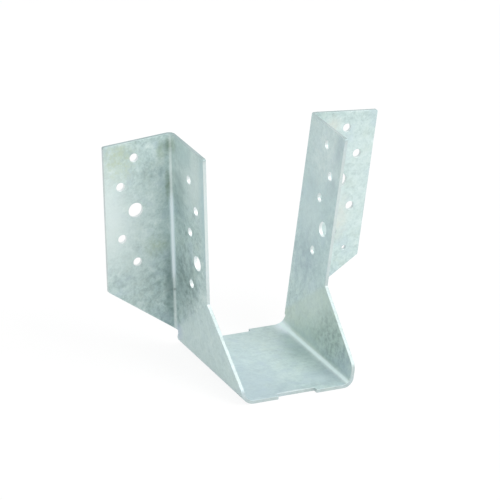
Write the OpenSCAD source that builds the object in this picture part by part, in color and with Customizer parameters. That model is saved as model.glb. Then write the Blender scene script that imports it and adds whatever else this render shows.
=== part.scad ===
// Joist hanger, folded from one piece of galvanised sheet.
// X runs across the joist, +Y points into the header beam and +Z is up.
// The origin is at the middle of the part, on the plane that the seat's underside stands on.

/* [Sheet] */
// Thickness of the sheet
sheet_t = 2; // [1.5:0.1:3]
// Inside radius of the bend between the seat and the left side
left_bend_r = 6; // [1:0.5:6]
// Inside radius of the bend between the seat and the right side
right_bend_r = 4; // [1:0.5:6]
// Inside radius of the two bends between the sides and the flanges
flange_bend_r = 1.8; // [1:0.1:5]
// Radius of the outside corners of the cut sheet
corner_r = 1; // [0.5:0.1:1.5]

/* [Joist space] */
// Width between the sides, at the seat
joist_w = 64; // [50:1:120]
// Height of the sides above the top of the seat, along their slope
side_h = 128; // [118:1:190]
// How far each side leans outwards, in degrees
side_lean = 4.6; // [0:0.1:8]

/* [Seat] */
// Depth of the seat, from the header's face to its front edge
seat_d = 84; // [74:1:110]
// Width of the recess in the middle of the seat's front and rear edges
recess_w = 23.4; // [12:0.2:30]
// Depth of that recess
recess_d = 3; // [1:0.1:5]

/* [Sides] */
// Depth of the sides above their shoulder, from the header's face
side_d = 42.5; // [40:0.5:60]
// Height of the shoulder where the front edge starts to slope to the seat
shoulder_h = 41; // [30:0.5:48]
// Height of the upright stretch at the foot of the left side's front edge
left_land_h = 5.5; // [5:0.1:16]
// Height of the upright stretch at the foot of the right side's front edge
right_land_h = 10.6; // [9:0.1:16]
// Radius of the corner between those stretches and the slope
front_land_r = 6; // [1:0.5:8]

/* [Flanges] */
// Width of the flanges, from the outer face of the side
flange_w = 40.4; // [37:0.1:60]
// Height of the lower corner at the flanges' outer edge
flange_corner_h = 40.7; // [30:0.1:45]
// Height at which the flanges' lower edge meets the side
flange_foot_h = 8.4; // [8:0.1:14]
// Height of the upright edge between the foot of the flange bend and the slanting edge below it
bend_relief = 0.5; // [0.3:0.1:1]

/* [Holes] */
// Diameter of the nail holes
nail_d = 5; // [3:0.1:6]
// Diameter of the bolt holes
bolt_d = 8.5; // [7:0.1:10]
// Distance from one hole to the next, down the sheet
hole_pitch = 15.7; // [14:0.1:17]
// Number of holes down each flange and each side
hole_rows = 5; // [4:1:5]
// Row of the bolt hole in a flange, counted from 0 at the top
flange_bolt_row = 2; // [0:1:3]
// Row of the bolt hole in a side, counted from 0 at the top
side_bolt_row = 3; // [0:1:3]
// Distance from the top edge down to the flanges' first hole
flange_first = 9.9; // [7:0.1:14]
// Distance of the flanges' inner holes from the outer face of the side
flange_inner = 22.2; // [14:0.1:25]
// Distance of the flanges' outer holes from the outer face of the side
flange_outer = 30.8; // [28:0.1:32]
// Distance of the sides' rear holes from the header's face
side_rear = 23.7; // [14:0.1:25]
// Distance of the sides' front holes from the header's face
side_front = 31.8; // [29:0.1:33]
// Distance from the top edge down to the left side's first hole
left_first = 19.3; // [8:0.1:22]
// Distance from the top edge down to the right side's first hole
right_first = 10.3; // [8:0.1:22]
// Diameter of the small pilot hole low on the right flange
pilot_d = 2.5; // [1.5:0.1:3]
// Distance from the top edge down to the pilot hole
pilot_drop = 82.7; // [80:0.1:86]

/* [Hidden] */
$fn = 96;

// Half of the joist space, where the sides' inner faces meet the seat
half_w = joist_w / 2;
// Space that the flange bend takes on the side and on the flange
flange_bend_out = flange_bend_r + sheet_t;
// Outer edge of the flange, from the inner face of the side
flange_edge = sheet_t + flange_w;
// Rise of the flange's lower edge for each millimetre outwards
foot_slope = (flange_corner_h - flange_foot_h) / flange_w;
// Foot of the flange bend, where the lower edge reaches the side's inner face
bend_foot_h = flange_foot_h - foot_slope * sheet_t;
// Straight facets in each seat bend
bend_steps = 24;
// Overlap that makes pieces of the fold one solid, and clearance of the cuts
eps = 0.01;
cut = 1;
// More than any size of the part, for cuts that reach all the way
reach = 2 * (joist_w + side_h + seat_d);

// Direction of a vector, 1 mm long
function unit(v) = v / norm(v);

// Arc of radius r in place of the corner b, between its edges towards a and c.
// It runs between the tangent points of those two edges.
function corner_arc(a, b, c, r) =
    let (
        u = unit(a - b),
        w = unit(c - b),
        half = acos(u * w) / 2,
        centre = b + unit(u + w) * r / sin(half),
        first = b + u * r / tan(half) - centre,
        last = b + w * r / tan(half) - centre,
        steps = 6
    )
    [for (i = [0 : steps]) centre + r * unit(first * (1 - i / steps) + last * i / steps)];

// Axis of a seat bend of this inside radius, in the section
function bend_axis(bend_r) = [-bend_r, bend_r / tan((90 + side_lean) / 2)];
// Point of the section at a distance from that axis, at an angle below the side's normal
function bend_point(bend_r, distance, angle) =
    bend_axis(bend_r) + distance * [cos(angle), -sin(angle)];
// Arc of the bend's inside or outside, from one such angle to another
function bend_arc(bend_r, distance, from, to) = [
    for (i = [0 : bend_steps]) bend_point(bend_r, distance, from + (to - from) * i / bend_steps)
];
// Point past the middle of the seat, on the face that goes on from that arc
function seat_middle(bend_r, distance) =
    bend_point(bend_r, distance, 90 - side_lean) - half_w * [cos(side_lean), sin(side_lean)];

// Rows alternate between two columns, the first row in the inner or rear one
function column(row, even, odd) = row % 2 == 0 ? even : odd;

// Section of the right half of the fold, with X as its first axis and height as its second.
// It stands square on the side: the inner face is X = 0 and its corner with the seat is the origin.
// It runs past the side's top and the seat's middle, where it is cut later.
module half_section(bend_r) {
    turn = 90 - side_lean;
    outside_r = bend_r + sheet_t;
    polygon(concat(
        [[sheet_t, side_h + cut], [0, side_h + cut]],
        bend_arc(bend_r, bend_r, 0, turn),
        [seat_middle(bend_r, bend_r), seat_middle(bend_r, outside_r)],
        bend_arc(bend_r, outside_r, turn, 0)
    ));
}

// What the side keeps of that section, with Y as its first axis and height as its second
module side_outline(land_h) {
    shoulder = [-side_d, shoulder_h];
    land = [-seat_d, land_h];
    relief_h = bend_foot_h - bend_relief;
    polygon(concat(
        // Rear edge, which slants from the seat's rear edge to the line where the flange bend begins
        [[cut, -reach], [cut, -cut * relief_h / flange_bend_out], [-flange_bend_out, relief_h]],
        [[-flange_bend_out, side_h]],
        corner_arc([0, side_h], [-side_d, side_h], shoulder, corner_r),
        corner_arc([-side_d, side_h], shoulder, land, corner_r),
        corner_arc(shoulder, land, [-seat_d, 0], front_land_r),
        [[-seat_d - cut, 0], [-seat_d - cut, -reach]]
    ));
}

// Flat outline of a flange and its bend, from the inner face of the side outwards
module flange_outline() {
    polygon(concat(
        [[-cut, bend_foot_h - foot_slope * cut]],
        corner_arc([0, bend_foot_h], [flange_edge, flange_corner_h], [flange_edge, side_h], corner_r),
        corner_arc([flange_edge, flange_corner_h], [flange_edge, side_h], [0, side_h], corner_r),
        [[-cut, side_h]]
    ));
}

// Flange and its bend, cut along the sloping lower edge, in the frame of the section
module flange() {
    intersection() {
        union() {
            translate([flange_bend_out, -flange_bend_out, 0])
                rotate([0, 0, 90])
                    rotate_extrude(angle = 90)
                        translate([flange_bend_r, 0]) square([sheet_t, side_h + cut]);
            translate([flange_bend_out - eps, -sheet_t, 0])
                cube([flange_edge - flange_bend_out + eps, sheet_t, side_h + cut]);
        }
        translate([0, cut, 0]) rotate([90, 0, 0])
            linear_extrude(flange_bend_out + 2 * cut) flange_outline();
    }
}

// Holes through a flange
module flange_holes() {
    for (row = [0 : hole_rows - 1])
        translate([
            sheet_t + column(row, flange_inner, flange_outer),
            cut,
            side_h - flange_first - row * hole_pitch
        ])
            rotate([90, 0, 0])
                cylinder(d = row == flange_bolt_row ? bolt_d : nail_d, h = sheet_t + 2 * cut);
}

// Holes through a side, with the first one this far below the top
module side_holes(first) {
    for (row = [0 : hole_rows - 1])
        translate([-cut, -column(row, side_rear, side_front), side_h - first - row * hole_pitch])
            rotate([0, 90, 0])
                cylinder(d = row == side_bolt_row ? bolt_d : nail_d, h = sheet_t + 2 * cut);
}

// Pilot hole low on a flange, in its outer column
module pilot_hole() {
    translate([sheet_t + flange_outer, cut, side_h - pilot_drop])
        rotate([90, 0, 0]) cylinder(d = pilot_d, h = sheet_t + 2 * cut);
}

// Right half of the fold: half of the seat, its bend, and the side with its flange.
// It is made square to the side, so that bends, edges and holes follow the sheet as it leans.
module folded_half(bend_r, land_h, first, pilot) {
    intersection() {
        translate([half_w, 0, 0]) rotate([0, side_lean, 0]) difference() {
            union() {
                intersection() {
                    rotate([90, 0, 0]) linear_extrude(seat_d) half_section(bend_r);
                    rotate([90, 0, 90]) linear_extrude(reach, center = true) side_outline(land_h);
                }
                flange();
            }
            flange_holes();
            side_holes(first);
            if (pilot) pilot_hole();
        }
        translate([0, -reach / 2, -reach / 2]) cube(reach);
    }
}

// Recess in the middle of the seat's front and rear edges
module seat_recesses() {
    for (edge_y = [-seat_d - cut, -recess_d])
        translate([-recess_w / 2, edge_y, -sheet_t - cut])
            cube([recess_w, recess_d + cut, sheet_t + 2 * cut]);
}

module joist_hanger() {
    color([0.72, 0.76, 0.76])
        translate([0, seat_d / 2, sheet_t]) difference() {
            union() {
                folded_half(right_bend_r, right_land_h, right_first, true);
                mirror([1, 0, 0]) folded_half(left_bend_r, left_land_h, left_first, false);
            }
            seat_recesses();
        }
}

joist_hanger();
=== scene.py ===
"""Looks of a joist hanger that is folded from one piece of galvanised sheet.

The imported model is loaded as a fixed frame. Its one node is replaced by a copy of itself with eased
edges and a hot-dip zinc finish, which stands on a plain pale floor under soft studio light.
Sizes in the classes are in millimetres and degrees; meshes are in metres.
"""
from __future__ import annotations

import logging
import math
from dataclasses import dataclass
from enum import Enum
from typing import Any, Optional, Union

import bmesh
import bpy
import numpy as np
from mathutils import Matrix, Vector

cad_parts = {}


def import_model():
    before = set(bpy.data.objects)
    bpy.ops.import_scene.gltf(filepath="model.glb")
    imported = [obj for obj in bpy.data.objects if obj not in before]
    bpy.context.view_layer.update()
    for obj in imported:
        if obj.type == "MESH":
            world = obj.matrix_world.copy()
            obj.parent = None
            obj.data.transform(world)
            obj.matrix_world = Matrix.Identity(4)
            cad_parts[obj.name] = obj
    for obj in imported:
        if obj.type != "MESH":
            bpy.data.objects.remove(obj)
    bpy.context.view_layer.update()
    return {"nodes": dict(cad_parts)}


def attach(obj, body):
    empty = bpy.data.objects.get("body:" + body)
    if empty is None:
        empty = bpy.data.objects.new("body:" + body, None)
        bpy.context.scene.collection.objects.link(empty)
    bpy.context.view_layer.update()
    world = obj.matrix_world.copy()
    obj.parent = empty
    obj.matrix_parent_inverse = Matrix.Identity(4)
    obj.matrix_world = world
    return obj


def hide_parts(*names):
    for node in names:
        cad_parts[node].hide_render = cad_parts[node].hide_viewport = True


LOG = logging.getLogger("joist_hanger")

NODE = "joist_hanger"
MM = 0.001
Colour = tuple[float, float, float, float]
Triple = tuple[float, float, float]


def tone(red: float, green: float, blue: float) -> Colour:
    """Turns a colour from 0 to 255, as a paint chart gives it, into the linear colour of a shader.

    Args:
        red: Red, from 0 to 255.
        green: Green, from 0 to 255.
        blue: Blue, from 0 to 255.

    Returns:
        The linear colour, with an alpha of 1.
    """
    def linear(level: float) -> float:
        """Takes one channel's display curve off."""
        share = level / 255
        return share / 12.92 if share <= 0.04045 else ((share + 0.055) / 1.055) ** 2.4
    return linear(red), linear(green), linear(blue), 1.0


class Half(Enum):
    """The two halves of the fold, by the sign of X on each."""

    LEFT = -1
    RIGHT = 1


class Leaf(Enum):
    """The flat leaves of one half, their cut edges and its top edge, which marks lie on."""

    SIDE_INNER = "side_inner"
    SIDE_OUTER = "side_outer"
    SIDE_CUTS = "side_cuts"
    FLANGE_FRONT = "flange_front"
    FLANGE_CUTS = "flange_cuts"
    SEAT_TOP = "seat_top"
    TOP_EDGE = "top_edge"

    def face(self, fold: "Fold") -> tuple[int, float, float]:
        """Where the leaf's face lies in its half's own frame.

        The walls of a hole lie at any depth in the sheet, and the seat's face slants in that frame, so
        marks on them reach further than the sheet is thick.

        Args:
            fold: Sizes of the sheet.

        Returns:
            The axis that stands square on the leaf, the place of its face on that axis, and how far a
            mark on it reaches to either side of that face.
        """
        sheet = fold.sheet_t
        return {
            Leaf.SIDE_INNER: (0, 0.0, sheet),
            Leaf.SIDE_OUTER: (0, sheet, sheet),
            Leaf.SIDE_CUTS: (0, sheet / 2, 4 * sheet),
            Leaf.FLANGE_FRONT: (1, -sheet, sheet),
            Leaf.FLANGE_CUTS: (1, -sheet / 2, 4 * sheet),
            Leaf.SEAT_TOP: (2, 0.0, 2.5 * sheet),
            Leaf.TOP_EDGE: (2, fold.side_h, sheet),
        }[self]


class Bend(Enum):
    """The two bends of one half."""

    SEAT = "seat"
    FLANGE = "flange"


class Wire:
    """A node's output, or an expression of outputs, to which Python's operators add Math nodes."""

    def __init__(self, bench: "Bench", socket: bpy.types.NodeSocket) -> None:
        """Wraps a socket of the bench's node tree."""
        self.bench = bench
        self.socket = socket

    def _join(self, operation: str, first: "Term", second: "Term") -> "Wire":
        """Adds a Math node, or a Vector Math node where either side is a vector.

        Args:
            operation: The operation's name, which both node types share.
            first: Left side of the expression.
            second: Right side of the expression.

        Returns:
            The node's output.
        """
        vectors = any(isinstance(term, Wire) and term.socket.type == "VECTOR" for term in (first, second))
        kind = "ShaderNodeVectorMath" if vectors else "ShaderNodeMath"
        return self.bench.node(kind, {"operation": operation}, {0: first, 1: second})

    def __add__(self, other: "Term") -> "Wire":
        """Sum."""
        return self._join("ADD", self, other)

    __radd__ = __add__

    def __sub__(self, other: "Term") -> "Wire":
        """Difference."""
        return self._join("SUBTRACT", self, other)

    def __rsub__(self, other: "Term") -> "Wire":
        """Difference, from a plain number or vector."""
        return self._join("SUBTRACT", other, self)

    def __mul__(self, other: "Term") -> "Wire":
        """Product, channel by channel for vectors."""
        return self._join("MULTIPLY", self, other)

    __rmul__ = __mul__

    def most(self, other: "Term") -> "Wire":
        """The larger of this value and the other."""
        return self._join("MAXIMUM", self, other)

    def size(self) -> "Wire":
        """Absolute value."""
        return self.bench.node("ShaderNodeMath", {"operation": "ABSOLUTE"}, {0: self})

    def length(self) -> "Wire":
        """Length of a vector."""
        return self.bench.node("ShaderNodeVectorMath", {"operation": "LENGTH"}, {0: self}, "Value")

    def along(self, line: Triple) -> "Wire":
        """How far a vector reaches along a line, which is given as a unit vector."""
        return self.bench.node("ShaderNodeVectorMath", {"operation": "DOT_PRODUCT"}, {0: self, 1: line},
                               "Value")

    def rise(self, low: float, high: float) -> "Wire":
        """Goes smoothly from 0 where the value is low to 1 where it is high.

        Args:
            low: Value at and below which the result is 0.
            high: Value at and above which the result is 1.

        Returns:
            The smooth step.
        """
        return self.bench.node("ShaderNodeMapRange", {"interpolation_type": "SMOOTHSTEP"},
                               {0: self, 1: low, 2: high, 3: 0.0, 4: 1.0})

    def fall(self, low: float, high: float) -> "Wire":
        """Goes smoothly from 1 where the value is low to 0 where it is high."""
        return 1 - self.rise(low, high)

    def parts(self) -> tuple["Wire", "Wire", "Wire"]:
        """The three numbers of a vector."""
        split = self.bench.node("ShaderNodeSeparateXYZ", {}, {0: self}).socket.node
        return tuple(Wire(self.bench, socket) for socket in split.outputs)


Term = Union[Wire, float, Triple, Colour]


class Bench:
    """Makes and joins the nodes of one tree."""

    def __init__(self, tree: bpy.types.NodeTree) -> None:
        """Clears the tree."""
        self.tree = tree
        tree.nodes.clear()

    def node(self, kind: str, settings: dict[str, Any], inputs: dict[Union[int, str], Term],
             output: Union[int, str] = 0) -> Optional[Wire]:
        """Adds a node, sets it and joins its inputs.

        Args:
            kind: The node's type, as Blender names it.
            settings: Its properties, which are set first; stops are a colour ramp's places and colours.
            inputs: A value, colour, vector or wire for each socket that isn't left as it is.
            output: The socket to return.

        Returns:
            That output of the node, or nothing where the node ends its tree.
        """
        made = self.tree.nodes.new(kind)
        for name, value in settings.items():
            if name == "stops":
                ramp = made.color_ramp.elements
                while len(ramp) < len(value):
                    ramp.new(1.0)
                for stop, (place, colour) in zip(ramp, value):
                    stop.position, stop.color = place, colour
            else:
                setattr(made, name, value)
        for name, value in inputs.items():
            if isinstance(value, Wire):
                self.tree.links.new(value.socket, made.inputs[name])
            else:
                made.inputs[name].default_value = value
        return Wire(self, made.outputs[output]) if made.outputs else None

    def mix(self, first: Term, second: Term, share: Term, mode: str = "MIX") -> Wire:
        """Mixes two colours.

        Args:
            first: Colour where the share is 0.
            second: Colour that is laid over it.
            share: How much of the second colour shows.
            mode: The way that the two are mixed.

        Returns:
            The mixed colour.
        """
        return self.node("ShaderNodeMix", {"data_type": "RGBA", "blend_type": mode, "clamp_factor": True},
                         {0: share, 6: first, 7: second}, 2)

    def noise(self, place: Wire, grain: float, detail: float = 3.0, roughness: float = 0.5,
              distortion: float = 0.0) -> Wire:
        """Noise from -1 to 1 with blotches of about one grain.

        Args:
            place: Where it is read, in millimetres.
            grain: Size of its blotches in millimetres.
            detail: Number of finer layers.
            roughness: Strength of each finer layer against the one before.
            distortion: How far it is stirred.

        Returns:
            The noise, which is mostly well inside its range.
        """
        raw = self.node("ShaderNodeTexNoise", {}, {
            "Vector": place, "Scale": 1 / grain, "Detail": detail, "Roughness": roughness,
            "Distortion": distortion})
        return (raw - 0.5) * 2.0


@dataclass(frozen=True)
class Fold:
    """Sizes of the folded sheet that its finish follows, as the part's source names them."""

    sheet_t: float = 2.0
    joist_w: float = 64.0
    side_h: float = 128.0
    side_lean: float = 4.6
    seat_d: float = 84.0
    recess_d: float = 3.0
    left_bend_r: float = 6.0
    right_bend_r: float = 4.0
    flange_bend_r: float = 1.8
    side_d: float = 42.5
    shoulder_h: float = 41.0
    flange_foot_h: float = 8.4

    @property
    def bend_out(self) -> float:
        """Space that the flange bend takes on the side and on the flange."""
        return self.flange_bend_r + self.sheet_t

    def own_frame(self, points: np.ndarray) -> np.ndarray:
        """Turns points of the part into their half's own frame, which stands square on the side.

        Along the side's slope the frame's height runs up, X runs out of the joist space through the
        side, and Y runs to the header from the flange's back.

        Args:
            points: Points of the part in millimetres, one row each.

        Returns:
            The same points, with X from the side's inner face, Y from the header's face and height.
        """
        lean = math.radians(self.side_lean)
        out, up = np.abs(points[:, 0]) - self.joist_w / 2, points[:, 2] - self.sheet_t
        return np.stack([out * math.cos(lean) - up * math.sin(lean), points[:, 1] - self.seat_d / 2,
                         out * math.sin(lean) + up * math.cos(lean)], axis=1)

    def sheet_normals(self, points: np.ndarray) -> np.ndarray:
        """Direction square to the sheet beside each point.

        In a bend it points away from the bend's axis. Beyond either end of the bend the angle round
        that axis is held, which gives the two flat leaves that the bend joins.

        Args:
            points: Points of the part in millimetres, one row each.

        Returns:
            Unit vectors in the frame of the points' own halves.
        """
        out, back, up = self.own_frame(points).T
        still = np.zeros_like(out)
        turn = math.radians(90 - self.side_lean)
        bend_r = np.where(points[:, 0] < 0, self.left_bend_r, self.right_bend_r)
        tangent = bend_r / math.tan(math.radians((90 + self.side_lean) / 2))
        angle = np.clip(np.arctan2(tangent - up, out + bend_r), 0, turn)
        seat = np.stack([np.cos(angle), still, -np.sin(angle)], axis=1)
        angle = np.clip(np.arctan2(back + self.bend_out, self.bend_out - out), 0, math.pi / 2)
        flange = np.stack([-np.cos(angle), np.sin(angle), still], axis=1)
        bend_foot = self.flange_foot_h - self.sheet_t
        return np.where((up > bend_foot)[:, None], flange, seat)

    def is_cut(self, points: np.ndarray, normals: np.ndarray) -> np.ndarray:
        """Says which faces were cut through the sheet, and aren't its flat or bent faces.

        The normal of a cut face lies more than 60 degrees away from the direction square to the sheet.

        Args:
            points: The faces' middles, in millimetres.
            normals: The faces' normals, in the frame of the part.

        Returns:
            True for each face that is a cut edge.
        """
        lean = math.radians(self.side_lean)
        out, back, up = (normals * np.stack([np.sign(points[:, 0]), np.ones(len(points)),
                                             np.ones(len(points))], axis=1)).T
        own = np.stack([out * math.cos(lean) - up * math.sin(lean), back,
                        out * math.sin(lean) + up * math.cos(lean)], axis=1)
        return np.abs((own * self.sheet_normals(points)).sum(axis=1)) < math.cos(math.radians(60))


@dataclass(frozen=True)
class Patch:
    """What a mark is worked out from, in one half of the fold.

    Attributes:
        own: Places in the half's own frame.
        mottle: The mottling of the zinc, which makes outlines ragged.
        smudges: 1 on the small smudges that the zinc is broken into, and 0 between them.
        fold: Sizes of the sheet.
    """

    own: Wire
    mottle: Wire
    smudges: Wire
    fold: Fold

    def broken(self, whole: Wire, part: float) -> Wire:
        """Breaks a part of a mark into smudges.

        Args:
            whole: Share of the mark's colour before it is broken.
            part: How much of it is broken.

        Returns:
            The share after that.
        """
        return whole * (1 - part + self.smudges * part) if part else whole


@dataclass(frozen=True)
class Mark:
    """A stain, a dull or bright patch, or a patch of painted shade or painted highlight, on one face of the
    sheet.

    Attributes:
        half: The half of the fold that it is on.
        leaf: The face that it is on.
        place: The two places of its middle along the leaf, in the order of the half's axes.
        reach: How far it spreads along each of them.
        colour: The colour that it brings.
        strength: How much of that colour shows in its middle.
        broken: How much of it is broken into smudges.
        core: Share of its reach within which it doesn't fade.
        ragged: Share of its reach by which the mottling moves its rim.
    """

    half: Half
    leaf: Leaf
    place: tuple[float, float]
    reach: tuple[float, float]
    colour: Colour
    strength: float
    broken: float = 0.0
    core: float = 0.1
    ragged: float = 0.35

    def share(self, patch: Patch) -> Wire:
        """How much of the mark's colour shows.

        The distance from its middle, as a share of its reach, is 1 at its rim, where the mottling of the
        zinc makes it ragged. The third reach, square to the leaf, keeps it to its own face.

        Args:
            patch: What it is worked out from.

        Returns:
            The share, from 0 to the mark's strength.
        """
        axis, layer, depth = self.leaf.face(patch.fold)
        middle, reach = list(self.place), list(self.reach)
        middle.insert(axis, layer)
        reach.insert(axis, depth)
        far = ((patch.own - tuple(middle)) * tuple(1 / size for size in reach)).length()
        whole = (far + self.ragged * patch.mottle).fall(self.core, 1.0) * self.strength
        return patch.broken(whole, self.broken)


@dataclass(frozen=True)
class BendHighlight:
    """A painted highlight along the hollow of a bend, where its curved face would catch the light.

    Attributes:
        half: The half of the fold that it is on.
        bend: The bend that it lies in.
        span: The two places along the bend between which it shows.
        width: Distance from the middle of the hollow at which it has faded.
        colour: The colour that it brings.
        strength: How much of that colour shows.
        core: Share of its width within which it doesn't fade.
        ragged: Share of its width by which the mottling moves its sides.
        fade: How far it fades inside and outside each end of its span.
        ragged_ends: How far the mottling moves those ends.
    """

    half: Half
    bend: Bend
    span: tuple[float, float]
    width: float
    colour: Colour
    strength: float
    core: float = 0.2
    ragged: float = 0.3
    fade: tuple[float, float] = (8.0, 4.0)
    ragged_ends: float = 10.0

    def share(self, patch: Patch) -> Wire:
        """How much of the bright colour shows, by the distance from the middle of the hollow.

        The middle of the hollow lies 45 degrees round the bend, at its inside radius. It is found from
        the bend's square corner, which is that radius away from the bend's axis both ways.

        Args:
            patch: What it is worked out from.

        Returns:
            The share, from 0 to the strength.
        """
        fold, depth = patch.fold, 1 - math.cos(math.radians(45))
        if self.bend is Bend.SEAT:
            inset = depth * (fold.left_bend_r if self.half is Half.LEFT else fold.right_bend_r)
            middle, across, line = (-inset, 0.0, inset), (1.0, 0.0, 1.0), (0.0, 1.0, 0.0)
        else:
            inset = fold.sheet_t + depth * fold.flange_bend_r
            middle, across, line = (inset, -inset, 0.0), (1.0, 1.0, 0.0), (0.0, 0.0, 1.0)
        far = ((patch.own - middle) * across).length() + self.ragged * self.width * patch.mottle
        half_way, half_span = sum(self.span) / 2, (self.span[1] - self.span[0]) / 2
        past = (patch.own.along(line) - half_way).size() + self.ragged_ends * patch.mottle
        within = past.fall(half_span - self.fade[0], half_span + self.fade[1])
        return far.fall(self.core * self.width, self.width) * within * self.strength


@dataclass(frozen=True)
class CreaseShade:
    """A painted change of light and shade across one face of a side, below the line from its shoulder to the
    flange's foot, as a slight crease along that line would give.

    Attributes:
        half: The half of the fold that it is on.
        leaf: The face that it is on.
        colour: Colour below the line.
        strength: How much of that colour shows.
        blur: Distance over which the tone changes.
        broken: How much of it is broken into smudges.
        depth: Distances from the face, in sheet thicknesses, between which it fades.
    """

    half: Half
    leaf: Leaf
    colour: Colour
    strength: float
    blur: float
    broken: float = 0.0
    depth: tuple[float, float] = (0.3, 0.9)

    def share(self, patch: Patch) -> Wire:
        """How much of the panel's colour shows.

        It is 1 below the line, at a distance over the blur, and falls to 0 above it. The distance from
        the face keeps it to that face.

        Args:
            patch: What it is worked out from.

        Returns:
            The share, from 0 to the strength.
        """
        fold = patch.fold
        run, rise = fold.side_d, fold.shoulder_h - fold.flange_foot_h
        span = math.hypot(run, rise)
        above = patch.own.along((0.0, rise / span, run / span)) - fold.flange_foot_h * run / span
        off = patch.own.along((1.0, 0.0, 0.0)) - self.leaf.face(fold)[1]
        near = off.size().fall(self.depth[0] * fold.sheet_t, self.depth[1] * fold.sheet_t)
        whole = (above + self.blur * patch.mottle).fall(-self.blur, self.blur) * near * self.strength
        return patch.broken(whole, self.broken)


# A stain, or a patch of painted light or shade, laid on the zinc
StainOrLight = Union[Mark, BendHighlight, CreaseShade]

# Colours of stains and patches of the zinc, and of painted shade and painted highlights, from brown and
# green to blue and white
STRAW = tone(204, 219, 200)
OLIVE = tone(166, 186, 152)
MOSS = tone(120, 144, 116)
CREAM = tone(232, 234, 224)
SMOKE = tone(122, 146, 145)
SHADE = tone(142, 168, 168)
TEAL = tone(152, 190, 192)
PALE = tone(198, 219, 218)
AQUA = tone(194, 219, 223)
SKY = tone(192, 210, 222)
SLATE = tone(160, 180, 190)
CHALK = tone(234, 246, 244)
FROST_HIGHLIGHT = tone(218, 236, 244)
ICE_HIGHLIGHT = tone(236, 250, 255)
MILK_HIGHLIGHT = tone(236, 254, 253)
WHITE = tone(246, 252, 252)


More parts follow.
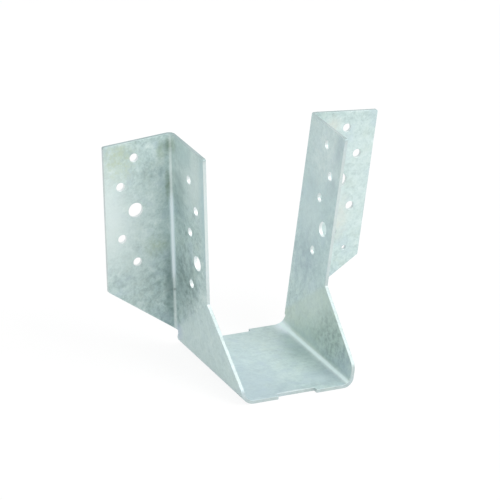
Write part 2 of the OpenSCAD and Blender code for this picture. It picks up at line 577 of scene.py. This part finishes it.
def face_stains_and_light(fold: Fold) -> tuple[StainOrLight, ...]:
    """Stains and marks of galvanising, pressing and handling on the faces of the sheet, with painted
    highlights in the bends and painted shade in corners and across a crease.

    Args:
        fold: Sizes of the sheet.

    Returns:
        The signs, in the order that they are laid.
    """
    left, right = Half.LEFT, Half.RIGHT
    return (
        # Left flange: painted light on its outer half, stained upper corners, painted shade along the bend
        # where the side shades it, and darker low down
        Mark(left, Leaf.FLANGE_FRONT, (40, 84), (18, 48), CHALK, 0.8),
        Mark(left, Leaf.FLANGE_FRONT, (33, 118), (16, 18), STRAW, 1.0, 0.7),
        Mark(left, Leaf.FLANGE_FRONT, (34, 120), (12, 10), OLIVE, 0.25, 0.9),
        Mark(left, Leaf.FLANGE_FRONT, (24, 70), (18, 56), CHALK, 0.35),
        Mark(left, Leaf.FLANGE_FRONT, (5, 74), (9, 62), SHADE, 0.3),
        Mark(left, Leaf.FLANGE_FRONT, (4, 121), (2.4, 8), MOSS, 0.6, 0.3),
        Mark(left, Leaf.FLANGE_FRONT, (8, 119), (4, 9), OLIVE, 0.6, 0.4),
        Mark(left, Leaf.FLANGE_FRONT, (4.6, 98), (2.4, 12), MOSS, 0.8, 0.5),
        Mark(left, Leaf.FLANGE_FRONT, (15, 107), (9, 10), SMOKE, 0.42, 0.8),
        Mark(left, Leaf.FLANGE_FRONT, (12, 63), (12, 9), OLIVE, 0.45, 0.6),
        Mark(left, Leaf.FLANGE_FRONT, (33, 47), (12, 9), SMOKE, 0.2, 0.9),
        Mark(left, Leaf.FLANGE_FRONT, (14, 34), (18, 26), SMOKE, 0.4, 0.9),
        Mark(left, Leaf.FLANGE_FRONT, (4, 36), (7, 36), SMOKE, 0.7, 0.2),
        Mark(left, Leaf.FLANGE_FRONT, (8, 17), (7, 7), SLATE, 0.5, 0.3),
        # Left side: pale top and front margin, painted shade in its corner with the flange, and painted
        # shade above the shoulder line with painted light below it, as a crease would give
        Mark(left, Leaf.SIDE_OUTER, (-26, 112), (36, 34), CHALK, 0.68),
        Mark(left, Leaf.SIDE_OUTER, (-5, 121), (6, 8), OLIVE, 0.35, 0.3),
        Mark(left, Leaf.SIDE_OUTER, (-18, 122), (16, 14), TEAL, 0.3),
        Mark(left, Leaf.SIDE_OUTER, (-44, 100), (11, 56), AQUA, 0.9),
        Mark(left, Leaf.SIDE_OUTER, (-12, 90), (14, 34), SHADE, 0.55, 0.4),
        Mark(left, Leaf.SIDE_OUTER, (-17, 44), (20, 32), SMOKE, 0.75, 0.6),
        CreaseShade(left, Leaf.SIDE_OUTER, PALE, 0.5, 1.5),
        Mark(left, Leaf.SIDE_OUTER, (-5, 8), (8, 8), SKY, 0.8),
        # Right side: bluish above the shoulder line, straw below it as the painted tone of a crease, and
        # darker low towards the seat's front
        CreaseShade(right, Leaf.SIDE_INNER, STRAW, 0.5, 2.0, 0.2),
        Mark(right, Leaf.SIDE_INNER, (-76, 8), (18, 14), SKY, 0.7, 0.5),
        Mark(right, Leaf.SIDE_INNER, (-20, 84), (60, 80), AQUA, 0.5),
        Mark(right, Leaf.SIDE_INNER, (-24, 112), (30, 34), CHALK, 0.6, 0.6),
        Mark(right, Leaf.SIDE_INNER, (-17, 73), (22, 22), CHALK, 0.22),
        Mark(right, Leaf.SIDE_INNER, (-38, 120), (7, 15), SLATE, 0.5, 0.5),
        Mark(right, Leaf.SIDE_INNER, (-37, 97), (9, 8), SLATE, 0.4, 0.5),
        Mark(right, Leaf.SIDE_INNER, (-15, 90), (8, 10), SLATE, 0.3, 0.6),
        Mark(right, Leaf.SIDE_INNER, (-18, 48), (22, 24), SLATE, 0.6, 0.6),
        Mark(right, Leaf.SIDE_INNER, (-60, 14), (34, 24), SMOKE, 0.6, 0.8),
        Mark(right, Leaf.SIDE_INNER, (-32, 27), (20, 18), CHALK, 0.2),
        # Right flange: painted light over it, with two cream patches
        Mark(right, Leaf.FLANGE_FRONT, (30, 80), (24, 66), CHALK, 0.3),
        Mark(right, Leaf.FLANGE_FRONT, (15, 120), (8, 8), CREAM, 0.6, 0.3),
        Mark(right, Leaf.FLANGE_FRONT, (27, 64), (9, 20), CREAM, 0.6, 0.4),
        # Seat: dull at the front, painted shade beside the right bend where the right side shades it, and
        # painted highlights at its rear corner and on the front recess's edge
        Mark(right, Leaf.SEAT_TOP, (-16, -40), (30, 50), CHALK, 0.12),
        Mark(left, Leaf.SEAT_TOP, (-16, -80), (60, 64), SLATE, 0.4),
        Mark(left, Leaf.SEAT_TOP, (-22, -40), (80, 120), SKY, 0.34),
        Mark(right, Leaf.SEAT_TOP, (-7, -34), (12, 30), SHADE, 0.22, 0.2),
        Mark(right, Leaf.SEAT_TOP, (-10, -70), (20, 20), SKY, 0.4),
        Mark(right, Leaf.SEAT_TOP, (0, -5), (9, 15), ICE_HIGHLIGHT, 1.0),
        Mark(left, Leaf.SEAT_TOP, (-fold.joist_w / 2, fold.recess_d - fold.seat_d), (15, 2), WHITE, 0.9),
        # Painted highlights along the hollows of the bends, with a nick in the left flange's
        BendHighlight(left, Bend.FLANGE, (0, 116), 1.3, CHALK, 0.42),
        BendHighlight(left, Bend.FLANGE, (38, 92), 2.2, ICE_HIGHLIGHT, 0.8),
        Mark(left, Leaf.FLANGE_FRONT, (2.2, 33.5), (1.6, 1.4), SMOKE, 0.8),
        BendHighlight(right, Bend.FLANGE, (8, fold.side_h), 1.3, CHALK, 0.4),
        BendHighlight(left, Bend.SEAT, (-fold.seat_d, 0), 1.5, FROST_HIGHLIGHT, 0.6),
        BendHighlight(right, Bend.SEAT, (-fold.seat_d - 6, 6), 1.6, MILK_HIGHLIGHT, 1.0),
    )


def cut_edge_painted_light(fold: Fold) -> tuple[StainOrLight, ...]:
    """Painted light on the cut sheet: white walls of the holes, as bright as the room seen through them,
    painted highlights on the front edges and painted shade on the top edges.

    Args:
        fold: Sizes of the sheet.

    Returns:
        The signs, in the order that they are laid.
    """
    left, right = Half.LEFT, Half.RIGHT
    return (
        # Painted white on the hole walls, as bright as the room seen through the holes
        Mark(left, Leaf.FLANGE_CUTS, (29, 85), (20, 200), WHITE, 0.9),
        Mark(right, Leaf.FLANGE_CUTS, (29, 85), (20, 200), WHITE, 0.6),
        Mark(left, Leaf.SIDE_CUTS, (-27.5, 80), (18, 200), WHITE, 1.0),
        Mark(right, Leaf.SIDE_CUTS, (-27.5, 80), (18, 200), WHITE, 0.8),
        # Painted highlights on the sides' front cut edges
        Mark(left, Leaf.SIDE_CUTS, (-fold.side_d, 85), (4, 80), CHALK, 0.6),
        Mark(right, Leaf.SIDE_CUTS, (-fold.side_d, 85), (4, 60), CHALK, 0.35),
        # Painted shade on the top edges
        Mark(left, Leaf.TOP_EDGE, (20, -22), (90, 90), SHADE, 0.8),
        Mark(right, Leaf.TOP_EDGE, (20, -22), (90, 90), SHADE, 0.6),
    )


@dataclass(frozen=True)
class Strengths:
    """How far each pattern of the zinc moves its tone, which runs from dull at 0 to bright at 1.

    Attributes:
        clouds: Strength of the broad clouds.
        mottle: Strength of the smoky mottling, where handling has brought it out in full.
        grain: Strength of the fine grain, in the same way.
        crystals: Strength of the zinc crystals, in the same way.
        handled: Share of those three that shows everywhere, and what the sides and the left add to it.
        scratches: Strength of the fine scratches across the seat.
        cool: Strength of the bluish patches.
        warm: Strength of the greenish patches.
    """

    clouds: float = 0.22
    mottle: float = 0.75
    grain: float = 0.3
    crystals: float = 0.2
    handled: Triple = (0.5, 0.35, 0.15)
    scratches: float = 0.13
    cool: float = 0.4
    warm: float = 0.35


@dataclass(frozen=True)
class ZincFinish:
    """Hot-dip zinc on sheet: pale, semi-matt and mottled, with faint crystals and handling marks.

    Attributes:
        name: The material's name.
        dull: Colour of its dullest patches.
        body: Colour of most of it.
        bright: Colour of its brightest patches.
        cool: Colour that its bluish patches lean to.
        warm: Colour that its greenish patches lean to.
        cloud: Size of the broad clouds in the tone.
        mottle: Size of the smoky mottling.
        grain: Size of the fine grain.
        crystal: Size of the zinc crystals.
        border: Length and height of the waves in the crystals' borders.
        scratch: Distance between the fine scratches.
        patch: Size of the bluish and greenish patches.
        smudge: Size of the smudges that broken marks are made of.
        smudge_rim: Levels of their noise between which a smudge fades in.
        wave: Size of the waves of the zinc coat, which carry ripples of the scratches' size.
        relief: Height of those waves.
        ripple: Height of the ripples, as a share of the waves'.
        metallic: How much of it shines as bare metal.
        roughness: Roughness of most of it.
        uneven: How far the mottling, the clouds and the crystals move that roughness.
        strengths: How far each pattern shows.
        stains_and_light: Stains on it, and patches of painted light and shade.
    """

    name: str
    dull: Colour = tone(156, 180, 179)
    body: Colour = tone(204, 224, 222)
    bright: Colour = tone(234, 247, 245)
    cool: Colour = tone(194, 213, 222)
    warm: Colour = tone(206, 222, 212)
    cloud: float = 24.0
    mottle: float = 5.0
    grain: float = 1.2
    crystal: float = 2.4
    border: tuple[float, float] = (3.0, 0.8)
    scratch: float = 1.6
    patch: float = 9.0
    smudge: float = 3.6
    smudge_rim: tuple[float, float] = (-0.2, 0.3)
    wave: float = 9.0
    relief: float = 0.05
    ripple: float = 0.25
    metallic: float = 0.35
    roughness: float = 0.48
    uneven: Triple = (0.10, 0.05, 0.04)
    strengths: Strengths = Strengths()
    stains_and_light: tuple[StainOrLight, ...] = ()

    def material(self, fold: Fold) -> bpy.types.Material:
        """Makes the material.

        Args:
            fold: Sizes of the sheet, on which the stains and painted light and shade are placed.

        Returns:
            The material.
        """
        made = bpy.data.materials.new(self.name)
        made.use_nodes = True
        bench = Bench(made.node_tree)
        place = bench.node("ShaderNodeTexCoord", {}, {}, "Object") * (1 / MM, 1 / MM, 1 / MM)
        clouds = bench.noise(place, self.cloud, detail=2.0, distortion=0.6)
        mottle = bench.noise(place + (40.0, 10.0, 0.0), self.mottle, detail=5.0, roughness=0.7,
                             distortion=0.4)
        crystals = self.crystals(bench, place)
        level = self.level(bench, place, fold, clouds, mottle, crystals)
        colour = self.marked(bench, place, fold, self.tinted(bench, place, level), mottle)
        by_mottle, by_clouds, by_crystals = self.uneven
        rough = self.roughness + by_mottle * mottle + by_clouds * clouds + by_crystals * crystals
        waves = bench.noise(place, self.wave, detail=2.0)
        ripples = bench.noise(place, self.scratch, detail=3.0)
        height = waves + self.ripple * ripples
        normal = bench.node("ShaderNodeBump", {}, {
            "Strength": 1.0, "Distance": self.relief * MM, "Height": height}, "Normal")
        shader = bench.node("ShaderNodeBsdfPrincipled", {}, {
            "Base Color": colour, "Metallic": self.metallic, "Roughness": rough, "Normal": normal})
        bench.node("ShaderNodeOutputMaterial", {}, {"Surface": shader})
        return made

    def crystals(self, bench: Bench, place: Wire) -> Wire:
        """The zinc crystals: cells with uneven borders, each with one tone.

        Args:
            bench: The material's bench.
            place: Places on the part, in millimetres.

        Returns:
            The tones, from -0.5 to 0.5.
        """
        length, height = self.border
        bent = place + bench.noise(place, length) * height
        cells = bench.node("ShaderNodeTexVoronoi", {"feature": "F1"}, {
            "Vector": bent, "Scale": 1 / self.crystal}, "Color")
        return bench.node("ShaderNodeSeparateColor", {}, {0: cells}) - 0.5

    def level(self, bench: Bench, place: Wire, fold: Fold, clouds: Wire, mottle: Wire,
              crystals: Wire) -> Wire:
        """Tone of the zinc: its patterns around a middle tone of 0.5.

        Handling has brought them out least on the seat and most on the left side and its flange. The
        fine scratches run across the seat alone.

        Args:
            bench: The material's bench.
            place: Places on the part, in millimetres.
            fold: Sizes of the sheet.
            clouds: The broad clouds.
            mottle: The mottling.
            crystals: The crystals.

        Returns:
            The tone, from dull at 0 to bright at 1.
        """
        across, _, up = place.parts()
        seat, left, show = fold.sheet_t, -fold.joist_w / 2, self.strengths
        everywhere, on_sides, on_left = show.handled
        handled = (everywhere + on_sides * up.rise(2 * seat, 5 * seat)
                   + on_left * across.fall(left - 4, left + 6))
        grain = bench.noise(place, self.grain, detail=2.0)
        scratches = bench.noise(place * (0.1, 1.0, 1.0), self.scratch, detail=3.0)
        on_seat = up.fall(1.5 * seat, 4 * seat)
        fine = show.mottle * mottle + show.grain * grain + show.crystals * crystals
        return 0.5 + show.clouds * clouds + fine * handled + show.scratches * scratches * on_seat

    def tinted(self, bench: Bench, place: Wire, level: Wire) -> Wire:
        """Colour of the zinc without signs: dull, body or bright, with bluish and greenish patches.

        Args:
            bench: The material's bench.
            place: Places on the part, in millimetres.
            level: Tone of the zinc.

        Returns:
            The colour.
        """
        colour = bench.node("ShaderNodeValToRGB", {"stops": (
            (0.0, self.dull), (0.5, self.body), (1.0, self.bright))}, {0: level})
        tint = bench.noise(place + (0.0, 70.0, 20.0), self.patch, detail=4.0, roughness=0.6)
        colour = bench.mix(colour, self.cool, tint.rise(0.0, 0.4) * self.strengths.cool)
        return bench.mix(colour, self.warm, (0.0 - tint).rise(0.05, 0.4) * self.strengths.warm)

    def marked(self, bench: Bench, place: Wire, fold: Fold, colour: Wire, mottle: Wire) -> Wire:
        """Lays the stains and the painted light and shade over the zinc, one after the other.

        Args:
            bench: The material's bench.
            place: Places on the part, in millimetres.
            fold: Sizes of the sheet.
            colour: Colour of the zinc without signs.
            mottle: The zinc's mottling.

        Returns:
            The colour with them.
        """
        spots = bench.noise(place + (0.0, 0.0, 90.0), self.smudge, detail=5.0, roughness=0.7)
        smudges = spots.rise(*self.smudge_rim)
        patches = {half: Patch(self.own_place(bench, place, fold, half), mottle, smudges, fold)
                   for half in Half}
        for sign in self.stains_and_light:
            colour = bench.mix(colour, sign.colour, sign.share(patches[sign.half]))
        return colour

    def own_place(self, bench: Bench, place: Wire, fold: Fold, half: Half) -> Wire:
        """Places in one half's own frame, worked out as Fold.own_frame does.

        Args:
            bench: The material's bench.
            place: Places on the part, in millimetres.
            fold: Sizes of the sheet.
            half: The half.

        Returns:
            The vector from the foot of the side's inner face at the header.
        """
        lean = math.radians(fold.side_lean)
        across, back, up = place.parts()
        out, up = across * float(half.value) - fold.joist_w / 2, up - fold.sheet_t
        return bench.node("ShaderNodeCombineXYZ", {}, {
            0: out * math.cos(lean) - up * math.sin(lean), 1: back - fold.seat_d / 2,
            2: out * math.sin(lean) + up * math.cos(lean)})


@dataclass(frozen=True)
class HangerSheet:
    """The folded sheet, as a copy of the frame's node with eased edges.

    Attributes:
        fold: Sizes of the sheet.
        ease: Width of the rounding that shearing and zinc leave on each edge.
        ease_steps: Number of faces across that rounding.
        real_edge: Angle above which an edge of the mesh is a real edge.
        flat: Angle below which two triangles are one flat face.
        weld: Distance in metres within which the triangles' corners are joined.
    """

    fold: Fold
    ease: float = 0.22
    ease_steps: int = 2
    real_edge: float = 28.0
    flat: float = 0.3
    weld: float = 1e-6

    def build(self, node: bpy.types.Object) -> bpy.types.Object:
        """Copies the node's mesh as one closed skin and splits its faces from its cut edges.

        Args:
            node: The frame's node.

        Returns:
            The copy.
        """
        skin = bmesh.new()
        skin.from_mesh(node.data)
        bmesh.ops.remove_doubles(skin, verts=skin.verts, dist=self.weld)
        bmesh.ops.dissolve_limit(skin, angle_limit=math.radians(self.flat), verts=skin.verts,
                                 edges=skin.edges, delimit={"NORMAL"})
        mesh = bpy.data.meshes.new("folded_sheet")
        skin.to_mesh(mesh)
        skin.free()
        mesh.shade_smooth()
        mesh.set_sharp_from_angle(angle=math.radians(self.real_edge))
        piece = bpy.data.objects.new("folded_sheet", mesh)
        bpy.context.scene.collection.objects.link(piece)
        self.dress(mesh)
        edges = piece.modifiers.new("eased_edges", "BEVEL")
        edges.width, edges.segments = self.ease * MM, self.ease_steps
        edges.limit_method, edges.angle_limit = "ANGLE", math.radians(self.real_edge)
        edges.offset_type, edges.use_clamp_overlap = "WIDTH", False
        faces = piece.modifiers.new("flat_faces", "WEIGHTED_NORMAL")
        faces.keep_sharp = True
        return piece

    def dress(self, mesh: bpy.types.Mesh) -> None:
        """Gives the faces and the cut edges their zinc, with its stains and painted light and shade.

        Args:
            mesh: The copy's mesh.
        """
        faces = ZincFinish("zinc_face", stains_and_light=face_stains_and_light(self.fold))
        cuts = ZincFinish("zinc_cut_edge", dull=tone(164, 180, 179), body=tone(192, 207, 206),
                          bright=tone(214, 226, 225), mottle=3.0, roughness=0.45, stains_and_light=cut_edge_painted_light(self.fold))
        for finish in (faces, cuts):
            mesh.materials.append(finish.material(self.fold))
        count = len(mesh.polygons)
        middles, normals = np.empty(count * 3), np.empty(count * 3)
        mesh.polygons.foreach_get("center", middles)
        mesh.polygons.foreach_get("normal", normals)
        cut = self.fold.is_cut(middles.reshape(-1, 3) / MM, normals.reshape(-1, 3))
        mesh.polygons.foreach_set("material_index", cut.astype(np.int32))
        LOG.info("cut faces: %d of %d", int(cut.sum()), count)


@dataclass(frozen=True)
class Lamp:
    """A square soft box that points at the part.

    Attributes:
        name: Its name.
        azimuth: Direction that it stands in, from -Y towards +X.
        elevation: Its angle above the floor.
        distance: Its distance from the part in metres.
        width: Its width in metres.
        power: Its power in watts.
    """

    name: str
    azimuth: float
    elevation: float
    distance: float
    width: float
    power: float

    def build(self, target: Vector) -> None:
        """Adds the lamp.

        Args:
            target: The point that it is turned to.
        """
        light = bpy.data.lights.new(self.name, "AREA")
        light.size, light.energy = self.width, self.power
        lamp = bpy.data.objects.new(self.name, light)
        bpy.context.scene.collection.objects.link(lamp)
        back = direction(self.azimuth, self.elevation)
        lamp.location = target + back * self.distance
        lamp.rotation_mode = "QUATERNION"
        lamp.rotation_quaternion = back.to_track_quat("Z", "Y")


@dataclass(frozen=True)
class Studio:
    """A pale floor in front of a white room, with soft light.

    Attributes:
        fill: Strength of the room's own light.
        lamps: The soft boxes.
        floor_width: Width of the floor in metres.
        floor_gap: Gap between the floor and the part, which keeps their faces apart, in metres.
        floor_colour: Colour of the floor.
        floor_glow: How much of the floor that is seen is the white of the room, and not its own shade.
        floor_white: Strength of that white.
    """

    fill: float = 0.69
    lamps: tuple[Lamp, ...] = (
        Lamp("key_box", azimuth=45, elevation=50, distance=1.8, width=1.2, power=16),
    )
    floor_width: float = 8.0
    floor_gap: float = 0.0001
    floor_colour: Colour = (0.9, 0.9, 0.9, 1.0)
    floor_glow: float = 0.85
    floor_white: float = 1.04

    def build(self, target: Vector) -> None:
        """Makes the room, the floor and the lamps.

        Args:
            target: The point that the lamps are turned to.
        """
        world = bpy.data.worlds.new("white_room")
        world.use_nodes = True
        bpy.context.scene.world = world
        bench = Bench(world.node_tree)
        light = bench.node("ShaderNodeBackground", {}, {"Color": (1, 1, 1, 1), "Strength": self.fill})
        white = bench.node("ShaderNodeBackground", {}, {"Color": (1, 1, 1, 1), "Strength": 1.0})
        bench.node("ShaderNodeOutputWorld", {}, {"Surface": bench.node(
            "ShaderNodeMixShader", {}, {0: self.seen(bench), 1: light, 2: white})})
        self.floor()
        for lamp in self.lamps:
            lamp.build(target)

    def seen(self, bench: Bench) -> Wire:
        """1 for the rays that see the background, straight on or in a reflection, and else 0."""
        rays = [bench.node("ShaderNodeLightPath", {}, {}, f"Is {kind} Ray")
                for kind in ("Camera", "Glossy", "Transmission")]
        return rays[0].most(rays[1]).most(rays[2])

    def floor(self) -> None:
        """Lays the floor under the part."""
        half, level = self.floor_width / 2, -self.floor_gap
        mesh = bpy.data.meshes.new("floor")
        mesh.from_pydata([(-half, -half, level), (half, -half, level), (half, half, level),
                          (-half, half, level)], [], [(0, 1, 2, 3)])
        floor = bpy.data.objects.new("floor", mesh)
        bpy.context.scene.collection.objects.link(floor)
        made = bpy.data.materials.new("pale_floor")
        made.use_nodes = True
        bench = Bench(made.node_tree)
        matt = bench.node("ShaderNodeBsdfDiffuse", {}, {"Color": self.floor_colour})
        glow = bench.node("ShaderNodeEmission", {}, {"Strength": self.floor_white})
        bench.node("ShaderNodeOutputMaterial", {}, {"Surface": bench.node(
            "ShaderNodeMixShader", {}, {0: self.seen(bench) * self.floor_glow, 1: matt, 2: glow})})
        mesh.materials.append(made)


def direction(azimuth: float, elevation: float) -> Vector:
    """Unit vector from the part towards something round it.

    Args:
        azimuth: Angle from -Y towards +X, in degrees.
        elevation: Angle above the floor, in degrees.

    Returns:
        The vector.
    """
    turn, rise = math.radians(azimuth), math.radians(elevation)
    return Vector((math.sin(turn) * math.cos(rise), -math.cos(turn) * math.cos(rise), math.sin(rise)))


@dataclass(frozen=True)
class Viewpoint:
    """The camera.

    Attributes:
        azimuth: Direction that it stands in, from -Y towards +X.
        elevation: Its angle above the floor.
        roll: How far it is turned clockwise about its own line of sight.
        distance: Its distance from the target in metres.
        lens: Focal length.
        sensor: Width of the sensor.
        clip: Nearest and furthest distance at which things are seen, in metres.
        target: The point in the middle of the picture, in metres.
    """

    azimuth: float = -27.73
    elevation: float = 23.65
    roll: float = 3.167
    distance: float = 2.242
    lens: float = 291.9
    sensor: float = 36.0
    clip: tuple[float, float] = (0.1, 20.0)
    target: Triple = (0.0, 0.02335, 0.06008)

    def build(self) -> None:
        """Makes the camera, level and then rolled about its line of sight."""
        camera = bpy.data.cameras.new("camera")
        camera.lens, camera.sensor_width = self.lens, self.sensor
        camera.clip_start, camera.clip_end = self.clip
        body = bpy.data.objects.new("camera", camera)
        bpy.context.scene.collection.objects.link(body)
        back = direction(self.azimuth, self.elevation)
        right = Vector((math.cos(math.radians(self.azimuth)), math.sin(math.radians(self.azimuth)), 0))
        up = back.cross(right)
        cos, sin = math.cos(math.radians(self.roll)), math.sin(math.radians(self.roll))
        turned = Matrix((right * cos + up * sin, up * cos - right * sin, back)).transposed()
        body.matrix_world = Matrix.Translation(Vector(self.target) + back * self.distance) @ turned.to_4x4()
        bpy.context.scene.camera = body


def main() -> None:
    """Loads the frame, then builds the camera, the sheet and the studio."""
    logging.basicConfig(level=logging.INFO, format="%(name)s: %(message)s")
    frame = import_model()
    bpy.context.scene.view_settings.view_transform = "Standard"
    view = Viewpoint()
    view.build()
    piece = HangerSheet(Fold()).build(frame["nodes"][NODE])
    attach(piece, "root")
    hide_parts(NODE)
    LOG.info("%s: %d faces before its edges are eased", piece.name, len(piece.data.polygons))
    Studio().build(Vector(view.target))
    LOG.info("studio: floor, room and lamps")


if __name__ == "__main__":
    main()
